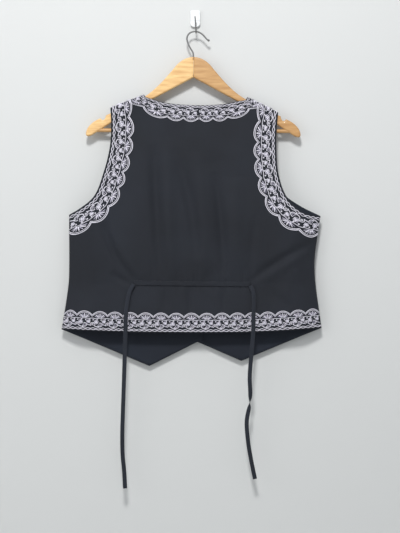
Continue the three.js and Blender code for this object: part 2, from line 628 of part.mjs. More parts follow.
function wallWire() {
  const route = [
    { x: 1.2, y: -PAD.thick - GAP, z: -9 }, { x: 1.2, y: -6.6, z: -9.1 }, { x: 1.2, y: -8.8, z: -11.6 }, { x: 1.3, y: -10.4, z: -17 },
    { x: 1.5, y: -12.2, z: -25 }, { x: 1.6, y: -14.6, z: -30.4 }, { x: 1.7, y: -18.4, z: -32.5 },
    { x: 1.6, y: -22.2, z: -30 }, { x: 1.2, y: -24, z: -24 }, { x: 0.6, y: -24.6, z: -12 },
    { x: -0.4, y: -24.6, z: 0.4 },
  ];
  return sweep(route, ovalSection(WALL_WIRE, WALL_WIRE, 10), 40);
}

// ---------------------------------------------------------------- the whole
const vest = new THREE.Group();
vest.name = 'embroidered_vest';

function addPiece(name, geometry, material, moved = (mesh) => mesh) {
  const mesh = new THREE.Mesh(geometry, new THREE.MeshStandardMaterial(MATERIALS[material]));
  mesh.name = name;
  vest.add(moved(mesh));
}
const onHanger = (mesh) => {
  mesh.position.set(CROWN.x, HANG_Y, CROWN.z);
  mesh.rotation.y = TILT;
  return mesh;
};

addPiece('back_panel', backPanel(), 'cotton');
addPiece('front_left', frontPanel(true), 'cottonInside');
addPiece('front_right', frontPanel(false), 'cottonInside');
addPiece('neck_trim_left', neckTrim(true), 'edging');
addPiece('neck_trim_right', neckTrim(false), 'edging');
addPiece('armhole_trim_left', armholeTrim(true), 'edging');
addPiece('armhole_trim_right', armholeTrim(false), 'edging');
addPiece('hem_trim', hemTrim(), 'edging');
addPiece('waist_casing', casing(), 'cotton');
addPiece('tie_left', tie(TIE_LEFT), 'tape');
addPiece('tie_right', tie(TIE_RIGHT), 'tape');
for (let i = 0; i < BUTTON.count; i++) {
  const z = BUTTON_TOP_Z - i * BUTTON_PITCH;
  const seat = onForm(1, MIDDLE_X, z, CLOTH / 2 + GAP + 0.2, lapBulge);
  addPiece(`button_${i + 1}`, button(), 'button', (mesh) => {
    mesh.position.copy(seat);
    return mesh;
  });
}
addPiece('hanger_arm_left', hangerArm(-1), 'woodLight', onHanger);
addPiece('hanger_arm_right', hangerArm(1), 'woodDark', onHanger);
addPiece('hanger_bar', hangerBar(), 'woodDark', onHanger);
addPiece('hanger_hook', hangerHook(), 'steel', onHanger);
addPiece('wall_pad', wallPad(), 'plastic');
addPiece('wall_hook_wire', wallWire(), 'steel');

export default vest;
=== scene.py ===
# %% [markdown]
# # An embroidered folk vest on a wooden hanger
# The vest hangs back outward on a hanger, from a small wall hook. The frame brings in the pieces at
# their real size. Here the cloth, the embroidered edging and the ties are modelled again with their
# folds and threads, and the hard pieces get their finish. Sizes are in millimetres in the tables and
# become metres when a mesh is made.

# %% Frame
import math
import bmesh
import bpy
import numpy as np
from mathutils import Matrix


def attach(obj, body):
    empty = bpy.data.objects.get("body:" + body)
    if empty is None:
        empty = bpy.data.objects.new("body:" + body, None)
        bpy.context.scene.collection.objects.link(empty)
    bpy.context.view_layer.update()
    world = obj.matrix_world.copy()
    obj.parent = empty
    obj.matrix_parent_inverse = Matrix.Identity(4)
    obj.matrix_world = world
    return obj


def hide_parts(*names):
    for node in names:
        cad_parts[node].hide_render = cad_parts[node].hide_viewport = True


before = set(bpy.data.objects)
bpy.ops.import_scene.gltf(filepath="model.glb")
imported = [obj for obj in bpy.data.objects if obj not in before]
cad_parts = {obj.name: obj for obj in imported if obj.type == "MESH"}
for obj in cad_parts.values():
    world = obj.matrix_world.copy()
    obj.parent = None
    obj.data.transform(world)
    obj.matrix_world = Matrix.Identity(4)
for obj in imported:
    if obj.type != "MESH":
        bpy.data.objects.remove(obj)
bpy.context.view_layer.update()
MM = 0.001
print("pieces in the frame:", len(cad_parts))

# %% [markdown]
# ## The sizes the cloth is laid by
# The pattern is flat: x across and h down. These tables say where its edges are, how deep the body
# stands off the hanger's plane, and where the folds run.

# %% Sizes
CLOTH = 1.2              # how thick the cotton is
TRIM_LIFT = 0.4          # how far the edging's threads start off the cloth
HANG_Y = -18             # the hanger's plane
OVER = 7.2               # radius of the bend over the hanger's arm
SEAM_GAP = 0.3
SEAM_HALF = (CLOTH + SEAM_GAP) / 2
SEAM_SOFT = 60           # how far from a seam the body has opened fully
FRONT_LAP = 12           # how far each front runs past the middle
MIDDLE_X = 3.7
LAP_STEP = 1.7           # how far the lapped front stands off the other
PAST_NECK = 1.35         # how far the shoulder's line runs on, as a share of its length
PIT_V, BEND_V = 0.42, 0.968       # shares up a panel at the armpit and at the bend
SHOULDER_U, POINT_U = 0.2, 0.6    # shares across at the shoulder seam and at a front's point
FLAT_DROP = (math.pi / 2 - 1) * OVER
NECK = {"left": (-107, -160.5), "right": (108.7, -165.5)}
TIP = {"left": (-175, -187.5), "right": (171.4, -197.5)}
DEPTHS = {  # height: how far back and front stand off
    "z": (-650, -600, -550, -500, -420, -300, -150),
    "back": (13, 11, 8, 11, 11, 5, 0),
    "front": (1.2, 1.2, 1.2, 1.4, 1.4, 0.8, 0),
}
SIDE = {
    "left": [(-275.8, -644.7), (-267, -592), (-260.8, -545), (-259.8, -500), (-260.2, -408)],
    "right": [(260.6, -641.8), (253.8, -592.5), (247.6, -545), (246.4, -500), (258.5, -410.5)],
}
ARMHOLE = {
    "left": [(-260.2, -408), (-238, -396), (-208, -371), (-188, -321), (-175.5, -268), (-173, -222)],
    "right": [(258.5, -410.5), (222, -402.5), (190, -375), (171.8, -328), (167, -270), (168.4, -222)],
    "right front": [(258.5, -410.5), (216, -388.5), (184, -364), (171.4, -326), (167.2, -270),
                    (168.6, -222)],
}
HEM_BACK = [(-275.8, -644.7), (-150, -649.5), (4, -651.5), (135, -649.5), (260.6, -641.8)]
HEM_POINT = {"left": (-95, -721), "right": (95.6, -710.4)}
HEM_NOTCH = -671.6
NECKLINE = [(-102.5, -165), (-89, -170), (-60, -178), (8, -183), (62, -180), (90, -174), (105, -171)]
NECK_MIDDLE = 3
VEE_BOTTOM = -402
CASING = {"from": -124.0, "to": 110, "down": 550}

# columns: from x, from h, to x, to h, sideways bow, width, how far out (+) or in (-)
FOLDS = [
    (-84, -262, -70, -538, 3, 11, -6), (-58, -250, -44, -538, 4, 14, 5),
    (-42, -270, 5, -500, -8, 12, -5.5), (0, -280, 22, -532, -6, 16, 4.5),
    (40, -320, 60, -536, -3, 10, -6), (84, -330, 86, -534, 3, 16, 4),
    (-188, -424, -124, -544, 9, 9, -7), (252, -462, 110, -548, 5, 9, -7),
    (-176, -432, -116, -540, 9, 12, 3.5), (240, -478, 116, -556, 5, 14, 3.5),
    (-173, -526, -128, -552, 2, 7, -3.5), (124, -405, 114, -530, 2, 9, -2.5),
    (-13, -556, -9, -612, 1, 6, -3), (-60, -558, -64, -610, 0, 8, -2.2),
    (58, -558, 60, -616, 0, 8, -2.4),
    (-262, -470, -240, -560, 4, 22, 3), (-236, -430, -214, -600, 6, 24, -3),
    (20, -190, 30, -300, 2, 26, 2), (-30, -185, -40, -290, 2, 22, -2),
    (100, -200, 96, -330, 2, 24, 2.5), (-110, -220, -104, -420, 3, 20, 2.5),
    (150, -560, 200, -600, 4, 10, -2.2), (206, -520, 178, -600, 4, 18, 2.2),
    (-240, -600, -215, -640, 3, 12, 2.2), (-190, -565, -180, -640, 3, 18, -2),
]
print("folds on the back:", len(FOLDS))

# %% [markdown]
# ## One form for every piece
# A flat place (x, h) is bent over the hanger's arm near the shoulder and stands off the hanger's
# plane below it. The back uses side -1 and the fronts side +1. Lifting along the cloth's outward
# direction gives walls and whatever lies on them.

# %% Form
def ease(t):
    return t * t * (3 - 2 * t)


def ramp(v, a, b):
    return ease(np.clip((v - a) / ((b - a) or 1e-9), 0, 1))


def spline(points, samples=600):
    """A smooth line through points, as a function of the share of its length."""
    p = np.array(points, float)
    p = np.vstack([2 * p[0] - p[1], p, 2 * p[-1] - p[-2]])
    out = []
    for i in range(1, len(p) - 2):
        knots = [0.0]
        for k in range(3):
            knots.append(knots[-1] + np.linalg.norm(p[i + k] - p[i + k - 1]) ** 0.5)
        t = np.linspace(knots[1], knots[2], samples // (len(p) - 3), endpoint=False)[:, None]
        a = [((knots[k + 1] - t) * p[i + k - 1] + (t - knots[k]) * p[i + k])
             / (knots[k + 1] - knots[k]) for k in range(3)]
        b = [((knots[k + 2] - t) * a[k] + (t - knots[k]) * a[k + 1])
             / (knots[k + 2] - knots[k]) for k in range(2)]
        out.append(((knots[2] - t) * b[0] + (t - knots[1]) * b[1]) / (knots[2] - knots[1]))
    line = np.vstack(out + [p[-2][None]])
    run = np.concatenate([[0], np.cumsum(np.linalg.norm(np.diff(line, axis=0), axis=1))])
    run /= run[-1]
    return lambda t: np.stack([np.interp(t, run, line[:, k]) for k in range(line.shape[1])], -1)


def chain(*parts):
    """Lines one after the other: (share, line)."""
    def at(t):
        t = np.asarray(t, float)
        out, start = np.zeros(t.shape + (2,)), 0.0
        for share, line in parts:
            inside = t >= start - 1e-9
            out[inside] = line(np.clip((t[inside] - start) / share, 0, 1))
            start += share
        return out
    return at


def ridge(x):
    out = np.zeros_like(x)
    for hand, where in (("left", x < 0), ("right", x >= 0)):
        (tx, tz), (nx, nz) = TIP[hand], NECK[hand]
        share = np.clip((x - tx) / (nx - tx), 0, PAST_NECK)
        out = np.where(where, tz + (nz - tz) * share, out)
    return out


def seam_distance(x, h):
    out = np.zeros_like(x)
    for hand, where in (("left", x < 0), ("right", x >= 0)):
        rows = np.array(SIDE[hand])
        above = np.maximum(0, h - rows[-1][1])
        edge = np.abs(np.interp(h, rows[:, 1], rows[:, 0]))
        out = np.where(where, np.hypot(np.maximum(0, edge - np.abs(x)), above), out)
    return out


def fold_depth(x, h):
    depth = np.zeros_like(x)
    for x0, z0, x1, z1, bow, width, out in FOLDS:
        dx, dz = x1 - x0, z1 - z0
        length = math.hypot(dx, dz)
        along = np.clip(((x - x0) * dx + (h - z0) * dz) / length**2, 0, 1)
        off = ((x - x0) * dz - (h - z0) * dx) / length - bow * 4 * along * (1 - along)
        depth += out * np.exp(-((off / width) ** 2)) * np.sin(math.pi * along) ** 0.7
    return depth


def gathers(x, h):
    """The small puckers that the drawstring makes above and below its casing."""
    rng = np.random.default_rng(7)
    depth, start = np.zeros_like(x), CASING["from"]
    while start < CASING["to"]:
        width, tall, out = rng.uniform(3, 6.5), rng.uniform(14, 46), rng.uniform(0.7, 2.0)
        lean = rng.uniform(-0.35, 0.35)
        for side, reach in ((1, tall), (-1, tall * 0.6)):
            rise = side * (h + CASING["down"])
            shape = np.exp(-(((x - start - lean * rise) / width) ** 2))
            depth -= out * shape * np.clip(1 - rise / reach, 0, 1) * ramp(rise, -2, 6)
        start += width * rng.uniform(1.7, 2.9)
    return depth


def lap_bulge(x):
    return LAP_STEP * (1 - ramp(x, 18, 80))


def form(side, x, h, lapped=False):
    down = ridge(x) + FLAT_DROP - h
    turn = np.clip(down / OVER, -1, math.pi / 2)
    bent = down < OVER * math.pi / 2
    open_ = np.sin(math.pi / 2 * np.minimum(seam_distance(x, h) / SEAM_SOFT, 1))
    start = ramp(down, OVER * math.pi / 2, 140)
    loose = np.interp(h, DEPTHS["z"], DEPTHS["back" if side < 0 else "front"]) * start
    folds = 0
    if side < 0:
        folds = (fold_depth(x, h) + gathers(x, h)) * ramp(down, 30, 90)
    extra = lap_bulge(x) * start if lapped else 0
    depth = SEAM_HALF + (OVER - SEAM_HALF + loose + extra + folds) * open_
    y = HANG_Y + side * np.where(bent, OVER * np.sin(turn), depth)
    z = np.where(bent, ridge(x) - OVER * (1 - np.cos(turn)), h)
    return np.stack([x, y, z], -1)


def on_form(side, x, h, lift, lapped=False):
    x, h = np.asarray(x, float), np.asarray(h, float)
    step = 0.4
    across = form(side, x + step, h, lapped) - form(side, x - step, h, lapped)
    up = form(side, x, h + step, lapped) - form(side, x, h - step, lapped)
    out = np.cross(across, up)
    out *= -side / np.linalg.norm(out, axis=-1, keepdims=True)
    return form(side, x, h, lapped) + out * np.asarray(lift, float)[..., None]


# %% [markdown]
# ## Meshes from grids
# A panel is a grid of points on its inner and outer side, joined round the edge. The UV map holds
# the flat pattern in metres, so that the weave follows the cloth.

# %% Mesh helpers
def add_object(name, points, faces, uvs=None):
    mesh = bpy.data.meshes.new(name)
    mesh.from_pydata([tuple(p) for p in points], [], [tuple(f) for f in faces])
    if uvs is not None:
        layer = mesh.uv_layers.new(name="pattern")
        loops = np.empty(len(mesh.loops), np.int32)
        mesh.loops.foreach_get("vertex_index", loops)
        layer.data.foreach_set("uv", np.asarray(uvs, np.float32)[loops].ravel())
    mesh.polygons.foreach_set("use_smooth", [True] * len(mesh.polygons))
    mesh.update()
    obj = bpy.data.objects.new(name, mesh)
    bpy.context.scene.collection.objects.link(obj)
    return obj


def wall(name, side, flat, thickness=CLOTH, lift=0.0, lapped=False):
    """A closed wall over a grid of flat places."""
    rows, cols = flat.shape[:2]
    low = on_form(side, flat[..., 0], flat[..., 1], np.full((rows, cols), lift - thickness / 2), lapped)
    high = on_form(side, flat[..., 0], flat[..., 1], np.full((rows, cols), lift + thickness / 2), lapped)
    points = np.concatenate([low.reshape(-1, 3), high.reshape(-1, 3)]) * MM
    n = rows * cols
    idx = np.arange(n).reshape(rows, cols)
    a, b, c, d = idx[:-1, :-1], idx[:-1, 1:], idx[1:, 1:], idx[1:, :-1]
    outer = np.stack([a, b, c, d], -1).reshape(-1, 4) + n
    inner = np.stack([a, d, c, b], -1).reshape(-1, 4)
    ring = np.concatenate([idx[0, :], idx[1:, -1], idx[-1, -2::-1], idx[-2:0:-1, 0]])
    nxt = np.roll(ring, -1)
    edge = np.stack([ring, nxt, nxt + n, ring + n], -1)
    faces = np.concatenate([outer, inner, edge])
    if side > 0:
        faces = faces[:, ::-1]
    uvs = np.tile(flat.reshape(-1, 2) * MM, (2, 1))
    return add_object(name, points, faces.tolist(), uvs)


def patch(bottom, top, left, right, us, vs):
    b, t, l, r = bottom(us)[None], top(us)[None], left(vs)[:, None], right(vs)[:, None]
    u, v = us[None, :, None], vs[:, None, None]
    bl, br, tl, tr = bottom(us[:1]), bottom(us[-1:]), top(us[:1]), top(us[-1:])
    return ((1 - v) * b + v * t + (1 - u) * l + u * r
            - ((1 - u) * (1 - v) * bl + u * (1 - v) * br + (1 - u) * v * tl + u * v * tr))


def flat_seam(p):
    return (p[0], p[1] + FLAT_DROP - SEAM_GAP / 2)


def edge_up(side, armhole, tip):
    return chain((PIT_V, spline(side)), (1 - PIT_V, spline(armhole + [flat_seam(tip)])))


def straight(a, b):
    a, b = np.array(a, float), np.array(b, float)
    return lambda t: a + (b - a) * np.asarray(t)[..., None]


def shares(*stops):
    """Even steps from 0 to 1 in stretches: each stop is (the share it ends at, its steps)."""
    out, start = [], 0.0
    for end, count in stops:
        out.append(np.linspace(start, end, count, endpoint=False))
        start = end
    return np.concatenate(out + [[1.0]])


# %% [markdown]
# ## The three panels
# The back is cut in one, and each front has its pointed hem and runs a little past the middle.

# %% Panels
back_flat = patch(
    spline(HEM_BACK),
    chain((SHOULDER_U, straight(flat_seam(TIP["left"]), flat_seam(NECK["left"]))),
          (1 - 2 * SHOULDER_U, spline([flat_seam(NECK["left"]), *NECKLINE, flat_seam(NECK["right"])])),
          (SHOULDER_U, straight(flat_seam(NECK["right"]), flat_seam(TIP["right"])))),
    edge_up(SIDE["left"], ARMHOLE["left"], TIP["left"]),
    edge_up(SIDE["right"], ARMHOLE["right"], TIP["right"]),
    shares((SHOULDER_U, 30), (1 - SHOULDER_U, 120), (1, 30)), shares((PIT_V, 64), (BEND_V, 70), (1, 10)))
back = wall("cloth_back", -1, back_flat)


def front_flat(hand):
    sign = 1 if hand == "left" else -1
    middle = MIDDLE_X + sign * FRONT_LAP
    corner = (middle, HEM_NOTCH + 0.5 * FRONT_LAP)
    vee = (middle, VEE_BOTTOM)
    bottom = chain((POINT_U, straight(SIDE[hand][0], HEM_POINT[hand])),
                   (1 - POINT_U, straight(HEM_POINT[hand], corner)))
    inner = chain((0.5, straight(corner, vee)), (0.5, straight(vee, flat_seam(NECK[hand]))))
    armhole = ARMHOLE["left"] if hand == "left" else ARMHOLE["right front"]
    return patch(bottom, straight(flat_seam(TIP[hand]), flat_seam(NECK[hand])),
                 edge_up(SIDE[hand], armhole, TIP[hand]), inner,
                 shares((POINT_U, 44), (1, 30)), shares((PIT_V, 40), (BEND_V, 46), (1, 10)))


front_left = wall("cloth_front_left", 1, front_flat("left"))
front_right = wall("cloth_front_right", 1, front_flat("right")[:, ::-1], lapped=True)
print("panel faces:", [len(o.data.polygons) for o in (back, front_left, front_right)])

# %% [markdown]
# ## The embroidered edging
# The edging is drawn once, as the threads of a single scallop on a unit square: s runs along the
# edge and w from the straight edge (0) to the scallop's top (1). Every thread is then laid along the
# edge of the cloth as a low round cord.

# %% Scallop design
def arc(cx, cy, rx, ry, a0, a1, n):
    a = np.radians(np.linspace(a0, a1, n))
    return np.stack([cx + rx * np.cos(a), cy + ry * np.sin(a)], -1)


def scallop_top(s):
    return 0.80 + 0.20 * (1 - np.abs(2 * s - 1) ** 2.2)


def design():
    """Threads of one scallop: (points, half width in mm, tone)."""
    threads = []
    s = np.linspace(0, 1, 15)
    for inset, half in ((0.02, 0.75), (0.085, 0.55)):
        threads.append((np.stack([s, scallop_top(s) - inset], -1), half, 0.9))
    for k in range(7):  # fan of petals inside the scallop
        a = math.radians(20 + 140 * k / 6)
        tip = np.array([0.5 + 0.36 * math.cos(a), 0.66 + 0.2 * math.sin(a)])
        root = np.array([0.5 + 0.09 * math.cos(a), 0.64 + 0.03 * math.sin(a)])
        petal = np.array([root, (root + tip) / 2 + [0.01, 0.005], tip])
        threads.append((petal, 0.95 if k % 2 else 0.75, 0.55 + 0.25 * (k % 2)))
    s = np.linspace(0, 1, 13)
    threads.append((np.stack([s, 0.615 + 0.012 * np.cos(4 * np.pi * s)], -1), 0.6, 0.85))
    for cx, cy, r, petals in ((0.27, 0.42, 0.135, 6), (0.77, 0.45, 0.11, 5)):  # rosettes
        threads.append((arc(cx, cy, r * 0.32, r * 0.22, 0, 360, 7), 0.7, 1.0))
        for k in range(petals):
            a = 2 * math.pi * (k + 0.3) / petals
            c = np.array([cx + r * 0.78 * math.cos(a), cy + r * 0.58 * math.sin(a)])
            petal = arc(c[0], c[1], r * 0.36, r * 0.25, 0, 360, 7)
            threads.append((petal, 0.6, 0.6 + 0.3 * ((k + petals) % 2)))
    threads.append((arc(0.52, 0.28, 0.15, 0.10, 200, 470, 9), 0.7, 0.9))  # scrolls
    threads.append((arc(0.52, 0.28, 0.07, 0.05, 100, 420, 7), 0.65, 0.6))
    threads.append((arc(0.03, 0.30, 0.13, 0.10, -30, 230, 9), 0.65, 0.75))
    threads.append((arc(0.03, 0.31, 0.05, 0.04, 0, 330, 6), 0.7, 1.0))
    threads.append((np.array([[0.62, 0.36], [0.7, 0.3], [0.82, 0.27], [0.95, 0.24]]), 0.8, 0.7))
    threads.append((np.array([[0.12, 0.27], [0.22, 0.2], [0.34, 0.18], [0.46, 0.16]]), 0.8, 0.8))
    for k in range(4):  # small knots between the figures
        knot = arc(0.08 + 0.26 * k, 0.535 + 0.02 * (k % 2), 0.03, 0.022, 0, 300, 5)
        threads.append((knot, 0.75, 0.95 - 0.2 * (k % 2)))
    s = np.linspace(0, 1, 13)
    threads.append((np.stack([s, 0.105 + 0.02 * np.sin(6 * np.pi * s)], -1), 0.6, 0.8))
    threads.append((np.stack([s, 0.035 + 0.02 * np.sin(6 * np.pi * s + 2.6)], -1), 0.65, 0.95))
    return threads


THREADS = design()
SCALLOP_LONG = 32                                               # what s from 0 to 1 measures
CORD = ((-1, 0.05), (-0.55, 0.75), (0.55, 0.75), (1, 0.05))     # its section: across, up
print("threads in a scallop:", len(THREADS))


# %% [markdown]
# Each run of edging has an edge line on the flat pattern, a number of scallops and a width. Its
# cross lines stand square to the edge but lie along the seams at both ends, as in the frame.

# %% Edging
def run_of_edging(side, line, scallops, inset, top, square, turned, ends, inward, lift, lapped=False):
    """A function from shares along and across the run to points on the cloth, raised by rise."""
    ends = [np.array(e, float) / np.linalg.norm(e) for e in ends]

    def place(t, w, rise):
        t = np.clip(t, 0, 1)
        step = line(np.clip(t + 0.004, 0, 1)) - line(np.clip(t - 0.004, 0, 1))
        cross = np.stack([step[:, 1], -step[:, 0]], -1) * inward
        cross /= np.linalg.norm(cross, axis=1, keepdims=True)
        leave, arrive = ramp(t, *square)[:, None], ramp(t, *turned)[:, None]
        cross = ends[0] * (1 - leave) + cross * leave
        cross = cross * (1 - arrive) + ends[1] * arrive
        cross /= np.linalg.norm(cross, axis=1, keepdims=True)
        p = line(t) + cross * (inset + w * top)[:, None]
        return on_form(side, p[:, 0], p[:, 1], CLOTH / 2 + lift(p[:, 1]) + rise, lapped)
    return place, scallops


def lay_threads(name, runs):
    """Joins every thread of every scallop of these runs in one mesh, with a tone for each point."""
    points, faces, tones, count = [], [], [], 0
    for place, scallops, flip in runs:
        for k in range(scallops):
            for path, half, tone in THREADS:
                s = 1 - path[:, 0] if flip else path[:, 0]
                t, w = (k + s) / scallops, path[:, 1]
                n = len(path)
                d = np.gradient(path, axis=0) * [1, 1.25]
                side = np.stack([-d[:, 1], d[:, 0]], -1) / np.linalg.norm(d, axis=1, keepdims=True)
                reach = half / SCALLOP_LONG
                rows = []
                for a, up in CORD:
                    s2 = t + (-1 if flip else 1) * side[:, 0] * a * reach / scallops
                    rows.append(place(s2, w + side[:, 1] * a * reach * 0.8, np.full(n, up * half * 1.1)))
                ring = np.stack(rows, 1)
                points.append(ring.reshape(-1, 3) * MM)
                base = count + np.arange(n - 1)[:, None] * 4
                for a in range(4):
                    b = (a + 1) % 4
                    quad = np.concatenate([base + a, base + b, base + 4 + b, base + 4 + a], 1)
                    faces += quad.tolist()
                faces += [[count + 3, count + 2, count + 1, count],
                          [count + 4 * n - 4 + a for a in range(4)]]
                tones += [tone] * (4 * n)
                count += 4 * n
    obj = add_object(name, np.concatenate(points), faces)
    layer = obj.data.attributes.new("tone", "FLOAT", "POINT")
    layer.data.foreach_set("value", np.array(tones, np.float32))
    face_out(obj)
    return obj


def face_out(obj):
    bm = bmesh.new()
    bm.from_mesh(obj.data)
    bmesh.ops.recalc_face_normals(bm, faces=bm.faces)
    bm.to_mesh(obj.data)
    bm.free()


def plain(h):
    return TRIM_LIFT + 0 * h


def over_neck(h):
    return TRIM_LIFT + 1.2 * ramp(h, -270, -215)


def armhole_runs(hand):
    sign = 1 if hand == "left" else -1
    rib, pit = (np.array(p) for p in SIDE[hand][-2:])
    tip, neck = np.array(TIP[hand]), np.array(NECK[hand])
    seam = (tip[0], tip[1] + FLAT_DROP)
    start = [(pit[0] + sign * 0.6, pit[1])]
    back_line = spline(start + ARMHOLE[hand][1:] + [seam])
    front_rows = ARMHOLE["left"] if hand == "left" else ARMHOLE["right front"]
    front_line = spline(start + front_rows[1:] + [seam])
    down, along = rib - pit, neck - tip
    first = run_of_edging(-1, back_line, 8, 3.5, 44, (0, 0.16), (0.8, 0.94), (down, along),
                          sign, over_neck)
    last = run_of_edging(1, lambda t: front_line(1 - t), 8, 3.5, 44, (0.06, 0.2), (0.84, 1),
                         (along, down), -sign, over_neck, lapped=hand == "right")
    return [(*first, hand == "left"), (*last, hand == "left")]


def neck_runs(hand):
    sign = 1 if hand == "left" else -1
    tip, neck = np.array(TIP[hand]), np.array(NECK[hand])
    flat_neck = (neck[0], neck[1] + FLAT_DROP)
    half = NECKLINE[NECK_MIDDLE - 1::-1] if hand == "left" else NECKLINE[NECK_MIDDLE + 1:]
    join = (NECKLINE[NECK_MIDDLE][0] - sign * SEAM_GAP / 2, NECKLINE[NECK_MIDDLE][1])
    right_edge = MIDDLE_X - FRONT_LAP
    end_x = right_edge - sign * 1.2
    edge_x = MIDDLE_X + sign * FRONT_LAP
    share = (end_x - edge_x) / (neck[0] - edge_x)
    end = (end_x, VEE_BOTTOM + (flat_neck[1] - VEE_BOTTOM) * share)
    along, down = tip - neck, (0, -1)
    first = run_of_edging(-1, spline([join, *half, flat_neck]), 4, 1.2, 34, (0, 0), (0.45, 0.86),
                          (down, along), -sign, plain)
    last = run_of_edging(1, straight(flat_neck, end), 9, 1.2, 34, (0.06, 0.18), (0.88, 0.99),
                         (along, down), sign, plain, lapped=hand == "right")
    return [(*first, hand == "left"), (*last, hand == "left")]


hem_rows = [(HEM_BACK[0][0] + 0.6, HEM_BACK[0][1]), *HEM_BACK[1:-1],
            (HEM_BACK[-1][0] - 0.6, HEM_BACK[-1][1])]
hem_up = [np.array(SIDE[h][1]) - np.array(SIDE[h][0]) for h in ("left", "right")]
hem_run = run_of_edging(-1, spline(hem_rows), 17, 2.5, 39, (0, 0.05), (0.95, 1), hem_up, -1, plain)

edgings = {
    "edging_neck_left": lay_threads("edging_neck_left", neck_runs("left")),
    "edging_neck_right": lay_threads("edging_neck_right", neck_runs("right")),
    "edging_armhole_left": lay_threads("edging_armhole_left", armhole_runs("left")),
    "edging_armhole_right": lay_threads("edging_armhole_right", armhole_runs("right")),
    "edging_hem": lay_threads("edging_hem", [(*hem_run, False)]),
}
print("edging faces:", {k: len(o.data.polygons) for k, o in edgings.items()})

# %% [markdown]
# ## The drawstring's casing and its two free ends
# The casing is a narrow strip on the back. Each tie is a flat tape that hangs from its end.

# %% Casing and ties
u, v = np.meshgrid(np.linspace(0, 1, 150), np.linspace(-0.5, 0.5, 7))
casing_flat = np.stack([-125 + 237.5 * u, -548.5 - 3 * u + 10 * v + 0.5 * np.sin(40 * u) * (v > 0.4)], -1)
casing = wall("cloth_casing", -1, casing_flat, thickness=0.9, lift=1.75)

TIE_LEFT = [
    (-126, -36.8, -551), (-133, -39.2, -563), (-137.5, -40.8, -580), (-141.5, -42.4, -612),
    (-142.5, -43.2, -650), (-144, -42.6, -699), (-146, -41, -757), (-148, -39.4, -815),
    (-149.3, -38.2, -865), (-148.4, -37.4, -903), (-145.5, -37, -934), (-143.6, -36.8, -969.5)]
TIE_RIGHT = [
    (113.4, -36.8, -554), (118.5, -39.4, -566), (120.3, -41, -584), (119.3, -42.6, -612),
    (118.6, -43.4, -650), (114.5, -42.6, -699), (111.6, -41.2, -742), (112.8, -40, -775),
    (111.6, -39.4, -797), (105.6, -38.8, -832), (108.6, -38.2, -875), (114, -37.6, -908),
    (122.5, -37.2, -950)]
TAPE, TAPE_HALF_THICK = 9.0, 0.8


def tape(name, route, twist_at=None):
    """A flat tape along a route, facing out, with one half turn where it twists."""
    t = np.linspace(0, 1, 150)
    line = spline(route)(t)
    along = np.gradient(line, axis=0)
    along /= np.linalg.norm(along, axis=1, keepdims=True)
    wide = np.cross(along, np.array([0.0, 1.0, 0.0]))
    wide /= np.linalg.norm(wide, axis=1, keepdims=True)
    out = np.cross(wide, along)
    turn = math.pi * ramp(t, twist_at - 0.05, twist_at + 0.05) if twist_at else 0 * t
    turn = turn + 0.25 * np.sin(9 * t)
    half = TAPE / 2 * (1 - 0.25 * np.exp(-((t - (twist_at or -1)) / 0.03) ** 2))
    ring = []
    for a in np.radians(np.arange(10) * 36 + 18):
        flat, thick = math.cos(a) * half, math.sin(a) * TAPE_HALF_THICK
        w = flat * np.cos(turn) - thick * np.sin(turn)
        o = flat * np.sin(turn) + thick * np.cos(turn)
        ring.append(line + wide * w[:, None] + out * o[:, None])
    ring = np.stack(ring, 1)
    n, sides = ring.shape[:2]
    idx = np.arange(n * sides).reshape(n, sides)
    nxt = np.roll(idx, -1, axis=1)
    faces = np.stack([idx[:-1], nxt[:-1], nxt[1:], idx[1:]], -1).reshape(-1, 4).tolist()
    faces += [idx[0].tolist(), idx[-1].tolist()]
    uv = np.stack([np.tile(np.arange(sides) / sides, n), np.repeat(t, sides)], -1)
    obj = add_object(name, ring.reshape(-1, 3) * MM, faces, uv)
    face_out(obj)
    return obj, line * MM


tie_left, line_left = tape("tie_left_tape", TIE_LEFT)
tie_right, line_right = tape("tie_right_tape", TIE_RIGHT, twist_at=0.6)
lengths = [float(np.linalg.norm(np.diff(l, axis=0), axis=1).sum()) for l in (line_left, line_right)]
print("ties, metres:", [round(l, 3) for l in lengths])

# %% [markdown]
# ## Finishes
# The cotton has a fine weave and a soft sheen. The thread is silvery lilac with paler and darker
# parts. The wood has long grain; its colour is painted lighter on the left arm as lit, and darker on the
# right arm and the bar as painted shade.

# %% Materials
def material(name):
    mat = bpy.data.materials.new(name)
    mat.use_nodes = True
    return mat, mat.node_tree, mat.node_tree.nodes["Principled BSDF"]


def node(tree, kind, **values):
    n = tree.nodes.new(kind)
    for key, value in values.items():
        if key in n.inputs:
            n.inputs[key].default_value = value
        else:
            setattr(n, key, value)
    return n


def two_tone(tree, fac, dark, light, low=0.0, high=1.0):
    r = tree.nodes.new("ShaderNodeValToRGB")
    r.color_ramp.elements[0].position, r.color_ramp.elements[1].position = low, high
    r.color_ramp.elements[0].color, r.color_ramp.elements[1].color = (*dark, 1), (*light, 1)
    tree.links.new(fac, r.inputs["Fac"])
    return r.outputs["Color"]


def bump(tree, bsdf, height, strength, distance):
    b = node(tree, "ShaderNodeBump", Strength=strength, Distance=distance)
    tree.links.new(height, b.inputs["Height"])
    tree.links.new(b.outputs["Normal"], bsdf.inputs["Normal"])


